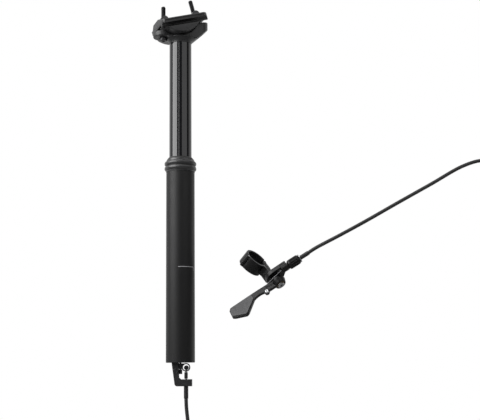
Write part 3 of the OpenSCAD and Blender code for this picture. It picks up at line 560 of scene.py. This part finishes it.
def bolt_profile(head_r, head_h, socket, shank_r, length, thread_from):
    """Profile of a socket-head bolt standing on the underside of its head, its tip at the top."""
    pitch, depth, rows, tip = 0.8, 0.42, 6, 0.8
    count = int((length - tip - thread_from) / pitch * rows)
    heights = [thread_from + i * pitch / rows for i in range(count + 1)]
    threads = [(thread(shank_r, depth, pitch, height), height) for height in heights]
    return ([(0, 2.2), (hexagon(socket), 2.6), (hexagon(socket), 0.3), (hexagon(socket + 0.3), 0)]
            + arc((head_r - 0.7, 0.7), 0.7, -90, 0, 5)
            + [(head_r, head_h - 0.25), (head_r - 0.25, head_h), (shank_r + 0.3, head_h),
               (shank_r - 0.05, head_h + 0.3), (shank_r - 0.05, thread_from - 0.3)]
            + threads + [(shank_r - 0.5, length - 0.5), (shank_r - 0.9, length - 0.1), (0, length)])


def make_clamp_bolts():
    """The two clamp bolts with sockets and threads, on the seats of the head."""
    head_r, head_h, socket, washer_h = 4.25, 4.4, 2, 1.5
    shank_r, length, thread_from = 2.5, 35, 16
    front_x, front_seat = -20.3, 8.2
    rear_x, rear_seat = 24, -20.3
    clamp = POST @ Matrix.Translation(CRADLE_AT) @ turn(-RAIL_TILT, "Y")
    front = POST @ Matrix.Translation((front_x, 0, NECK_Z + front_seat - washer_h - head_h))
    rear = clamp @ Matrix.Translation((rear_x, 0, rear_seat - washer_h - head_h))
    for name, place in (("front_clamp_bolt", front), ("rear_clamp_bolt", rear)):
        profile = bolt_profile(head_r, head_h, socket, shank_r, length + washer_h + head_h, thread_from)
        bolt = turned(name + "_threaded", profile, place, BLACK_STEEL, 48)
        dress(bolt, "inner_post", "black_steel", name)


def make_small_turnings():
    """Cable head, pivot pin, bolts and screws with broken edges."""
    across_foot = centred_on("cable_head", FOOT) @ turn(math.pi / 2, "X")
    head = turned("cable_head_barrel", [
        (0, -3), (2.1, -3), (2.5, -2.6), (2.5, 2.6), (2.1, 3), (1.1, 3), (0.8, 2.7), (0, 2.7)],
        across_foot, BLACK_STEEL, 48)
    dress(head, "pull_wire", "black_steel", "cable_head")
    pin_place = centred_on("hook_pivot_pin", FOOT) @ turn(math.pi / 2, "X")
    pin = turned("hook_pivot_rivet", [
        (0, -5.9), (1.1, -5.9), (1.5, -5.5), (1.5, 5.5), (1.1, 5.9), (0.5, 5.9), (0.4, 5.6), (0, 5.6)],
        pin_place, BLACK_STEEL, 40)
    dress(pin, "outer_post", "black_steel", "hook_pivot_pin")
    bolt = turned("pivot_bolt_head", [
        (0, 8.4), (hexagon(1.5), 8.4), (hexagon(1.5), 9.7), (hexagon(1.75), 9.9), (3.3, 9.9), (3.75, 9.45),
        (3.75, 8.3), (3, 8.3), (3, -8.3), (0, -8.3)], REMOTE, BARE_STEEL, 48)
    dress(bolt, "outer_post", "bare_steel", "pivot_bolt")
    screw_place = REMOTE @ Matrix.Translation((-17.3, 3, 8.6)) @ turn(-math.pi / 2, "X")
    screw = turned("wire_pinch_cap_screw", [
        (0, 1), (hexagon(0.8), 1), (hexagon(0.8), 2), (hexagon(0.95), 2.2), (1.7, 2.2), (2, 1.9), (2, 0),
        (1.2, 0), (1.2, -4), (0, -4)], screw_place, BARE_STEEL, 48)
    dress(screw, "lever", "bare_steel", "wire_pinch_screw")


def grip_stipple(name, outline, place, spacing, radius, material):
    """Small domes spread over a flat outline by a node tree, as on moulded rubber."""
    most_per_square_metre, seed = 4e6, 7
    bm = bmesh.new()
    bm.faces.new([bm.verts.new(place @ Vector(p)) for p in outline])
    bmesh.ops.triangulate(bm, faces=bm.faces)
    obj = mesh_piece(name, bm, material)
    tree = bpy.data.node_groups.new("grip stipple", "GeometryNodeTree")
    tree.interface.new_socket("Surface", in_out="INPUT", socket_type="NodeSocketGeometry")
    sizes = {}
    for label, value in (("Spacing", spacing * MM), ("Dome Radius", radius * MM)):
        socket = tree.interface.new_socket(label, in_out="INPUT", socket_type="NodeSocketFloat")
        sizes[socket.identifier] = value
    tree.interface.new_socket("Domes", in_out="OUTPUT", socket_type="NodeSocketGeometry")
    nodes, links = tree.nodes, tree.links
    inputs = nodes.new("NodeGroupInput")
    outputs = nodes.new("NodeGroupOutput")
    spread = nodes.new("GeometryNodeDistributePointsOnFaces")
    spread.distribute_method = "POISSON"
    spread.inputs["Density Max"].default_value = most_per_square_metre
    spread.inputs["Seed"].default_value = seed
    dome = nodes.new("GeometryNodeMeshIcoSphere")
    dome.inputs["Subdivisions"].default_value = 2
    place_domes = nodes.new("GeometryNodeInstanceOnPoints")
    realise = nodes.new("GeometryNodeRealizeInstances")
    paint = nodes.new("GeometryNodeSetMaterial")
    paint.inputs["Material"].default_value = material
    links.new(inputs.outputs["Surface"], spread.inputs["Mesh"])
    links.new(inputs.outputs["Spacing"], spread.inputs["Distance Min"])
    links.new(inputs.outputs["Dome Radius"], dome.inputs["Radius"])
    links.new(spread.outputs["Points"], place_domes.inputs["Points"])
    links.new(dome.outputs["Mesh"], place_domes.inputs["Instance"])
    links.new(place_domes.outputs["Instances"], realise.inputs["Geometry"])
    links.new(realise.outputs["Geometry"], paint.inputs["Geometry"])
    links.new(paint.outputs["Geometry"], outputs.inputs["Domes"])
    modifier = obj.modifiers.new("stipple", "NODES")
    modifier.node_group = tree
    for identifier, value in sizes.items():
        modifier[identifier] = value
    bake_modifiers(obj)
    for face in obj.data.polygons:
        face.use_smooth = True
    return obj


def make_pad():
    """The rubber pad with a rounded edge, and its stippled grip."""
    pad = cast_copy("thumb_pad_moulding", "thumb_pad", PAD_RUBBER, 0.16, 3)
    dress(pad, "lever", "pad_rubber", "thumb_pad")
    inset, pad_top, sunk = 2.4, 4.2, 0.12
    top = pad_top - sunk
    outline = [
        (-35, top, inset - 0.2), (-60 + inset, top, 0.6 + inset), (-63.2 + inset, top, 4 + inset),
        (-64 + inset, top, 11.6 - inset * 0.4), (-61.5 + inset, top, 13.8 - inset),
        (-49.5, top, 19.2 - inset), (-47, top, 18.2 - inset), (-35, top, 8 - inset)]
    domes = grip_stipple("thumb_pad_stipple", outline, REMOTE, spacing=0.85, radius=0.26,
                         material=PAD_RUBBER)
    dress(domes, "lever", "pad_rubber")


def make_remote_wire():
    """The bare wire from the remote's boss to the lever."""
    start = REMOTE @ Vector((9.5, CABLE_Y, 0))
    end = REMOTE @ Vector((-15.6, 4.4, 1.9))
    steps, strand_r = 12, 0.4
    points = [start.lerp(end, i / steps) for i in range(steps + 1)]
    wire = swept("remote_wire_strand", points, strand_r * MM, WIRE_STEEL, 12)
    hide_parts("remote_wire")
    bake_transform(wire)


make_housing()
make_post()
make_castings()
make_clamp_bolts()
make_small_turnings()
make_pad()
make_remote_wire()


# Studio
VIEW_RIGHT = Vector((math.cos(FOOT_TURN), math.sin(FOOT_TURN), 0))
TO_VIEWER = Vector((math.sin(FOOT_TURN), -math.cos(FOOT_TURN), 0))


def make_camera():
    """The camera where the photograph was taken from."""
    lateral, distance, height = 66.2, 1050, -216.9
    pitch, roll = math.radians(9.4), math.radians(0.58)
    forward = -TO_VIEWER * math.cos(pitch) + Vector((0, 0, math.sin(pitch)))
    up = VIEW_RIGHT.cross(forward)
    right = VIEW_RIGHT * math.cos(roll) - up * math.sin(roll)
    up = right.cross(forward)
    place = Matrix((right, up, -forward)).transposed().to_4x4()
    place.translation = (VIEW_RIGHT * lateral + TO_VIEWER * distance + Vector((0, 0, height))) * MM
    data = bpy.data.cameras.new("camera")
    data.sensor_width = 36
    data.lens = 71.8
    camera = bpy.data.objects.new("camera", data)
    camera.matrix_world = place
    bpy.context.scene.collection.objects.link(camera)
    bpy.context.scene.camera = camera


def make_softbox(name, bearing, distance, height, size, watts, aim_height):
    """A rectangular softbox at a bearing to the viewer's right of the line to the viewer, in degrees."""
    data = bpy.data.lights.new(name, "AREA")
    data.shape = "RECTANGLE"
    data.size, data.size_y = size
    data.energy = watts
    a = math.radians(bearing)
    where = (TO_VIEWER * math.cos(a) + VIEW_RIGHT * math.sin(a)) * distance + Vector((0, 0, height))
    light = bpy.data.objects.new(name, data)
    light.location = where
    light.rotation_euler = (Vector((0, 0, aim_height)) - where).to_track_quat("-Z", "Y").to_euler()
    light.visible_camera = False
    bpy.context.scene.collection.objects.link(light)


def make_world():
    """White behind the object, dark on the viewer's side, and plain white for the camera."""
    viewer_side, behind = 0.06, 0.9
    world = bpy.data.worlds.new("studio")
    bpy.context.scene.world = world
    world.use_nodes = True
    nodes, links = world.node_tree.nodes, world.node_tree.links
    nodes.clear()
    coords = nodes.new("ShaderNodeTexCoord")
    towards = nodes.new("ShaderNodeVectorMath")
    towards.operation = "DOT_PRODUCT"
    towards.inputs[1].default_value = TO_VIEWER
    shade = nodes.new("ShaderNodeMapRange")
    shade.interpolation_type = "SMOOTHSTEP"
    shade.inputs["From Min"].default_value = 0.05
    shade.inputs["From Max"].default_value = -0.35
    shade.inputs["To Min"].default_value = viewer_side
    shade.inputs["To Max"].default_value = behind
    links.new(coords.outputs["Generated"], towards.inputs[0])
    links.new(towards.outputs["Value"], shade.inputs["Value"])
    path = nodes.new("ShaderNodeLightPath")
    level = nodes.new("ShaderNodeMix")
    level.data_type = "FLOAT"
    level.inputs["B"].default_value = 1
    links.new(path.outputs["Is Camera Ray"], level.inputs["Factor"])
    links.new(shade.outputs["Result"], level.inputs["A"])
    background = nodes.new("ShaderNodeBackground")
    background.inputs["Color"].default_value = (1, 1, 1, 1)
    output = nodes.new("ShaderNodeOutputWorld")
    links.new(level.outputs["Result"], background.inputs["Strength"])
    links.new(background.outputs["Background"], output.inputs["Surface"])


def make_floor():
    """A pale floor just under the lowest bend of the cable."""
    size, gap, glow_level = 1.0, 0.004, 0.3
    bm = bmesh.new()
    z = cad_box[0].z - gap
    corners = [bm.verts.new((x * size, y * size, z)) for x, y in ((-1, -1), (1, -1), (1, 1), (-1, 1))]
    bm.faces.new(corners)
    material, shader = new_material("pale floor", (0.8, 0.8, 0.8), 0, 0.6)
    nodes, links = material.node_tree.nodes, material.node_tree.links
    path = nodes.new("ShaderNodeLightPath")
    glow = nodes.new("ShaderNodeEmission")
    mix = nodes.new("ShaderNodeMixShader")
    links.new(path.outputs["Is Glossy Ray"], mix.inputs["Fac"])
    links.new(shader.outputs["BSDF"], mix.inputs[1])
    links.new(glow.outputs["Emission"], mix.inputs[2])
    glow.inputs["Strength"].default_value = glow_level
    links.new(mix.outputs["Shader"], nodes["Material Output"].inputs["Surface"])
    mesh_piece("floor", bm, material, smooth=False)


make_camera()
make_softbox("key softbox", bearing=-59, distance=1.1, height=0.8, size=(1.08, 1.5), watts=36,
             aim_height=0.8)
make_softbox("fill softbox", bearing=46, distance=1.3, height=0.9, size=(1.35, 1.5), watts=8,
             aim_height=0.9)
make_softbox("overhead softbox", bearing=-20, distance=0.5, height=1.6, size=(0.8, 0.8), watts=6,
             aim_height=0.4)
make_softbox("strip light", bearing=-12.5, distance=1.4, height=0.72, size=(0.07, 1.4), watts=2.0,
             aim_height=0.72)
make_world()
make_floor()
bpy.context.scene.view_settings.view_transform = "Standard"
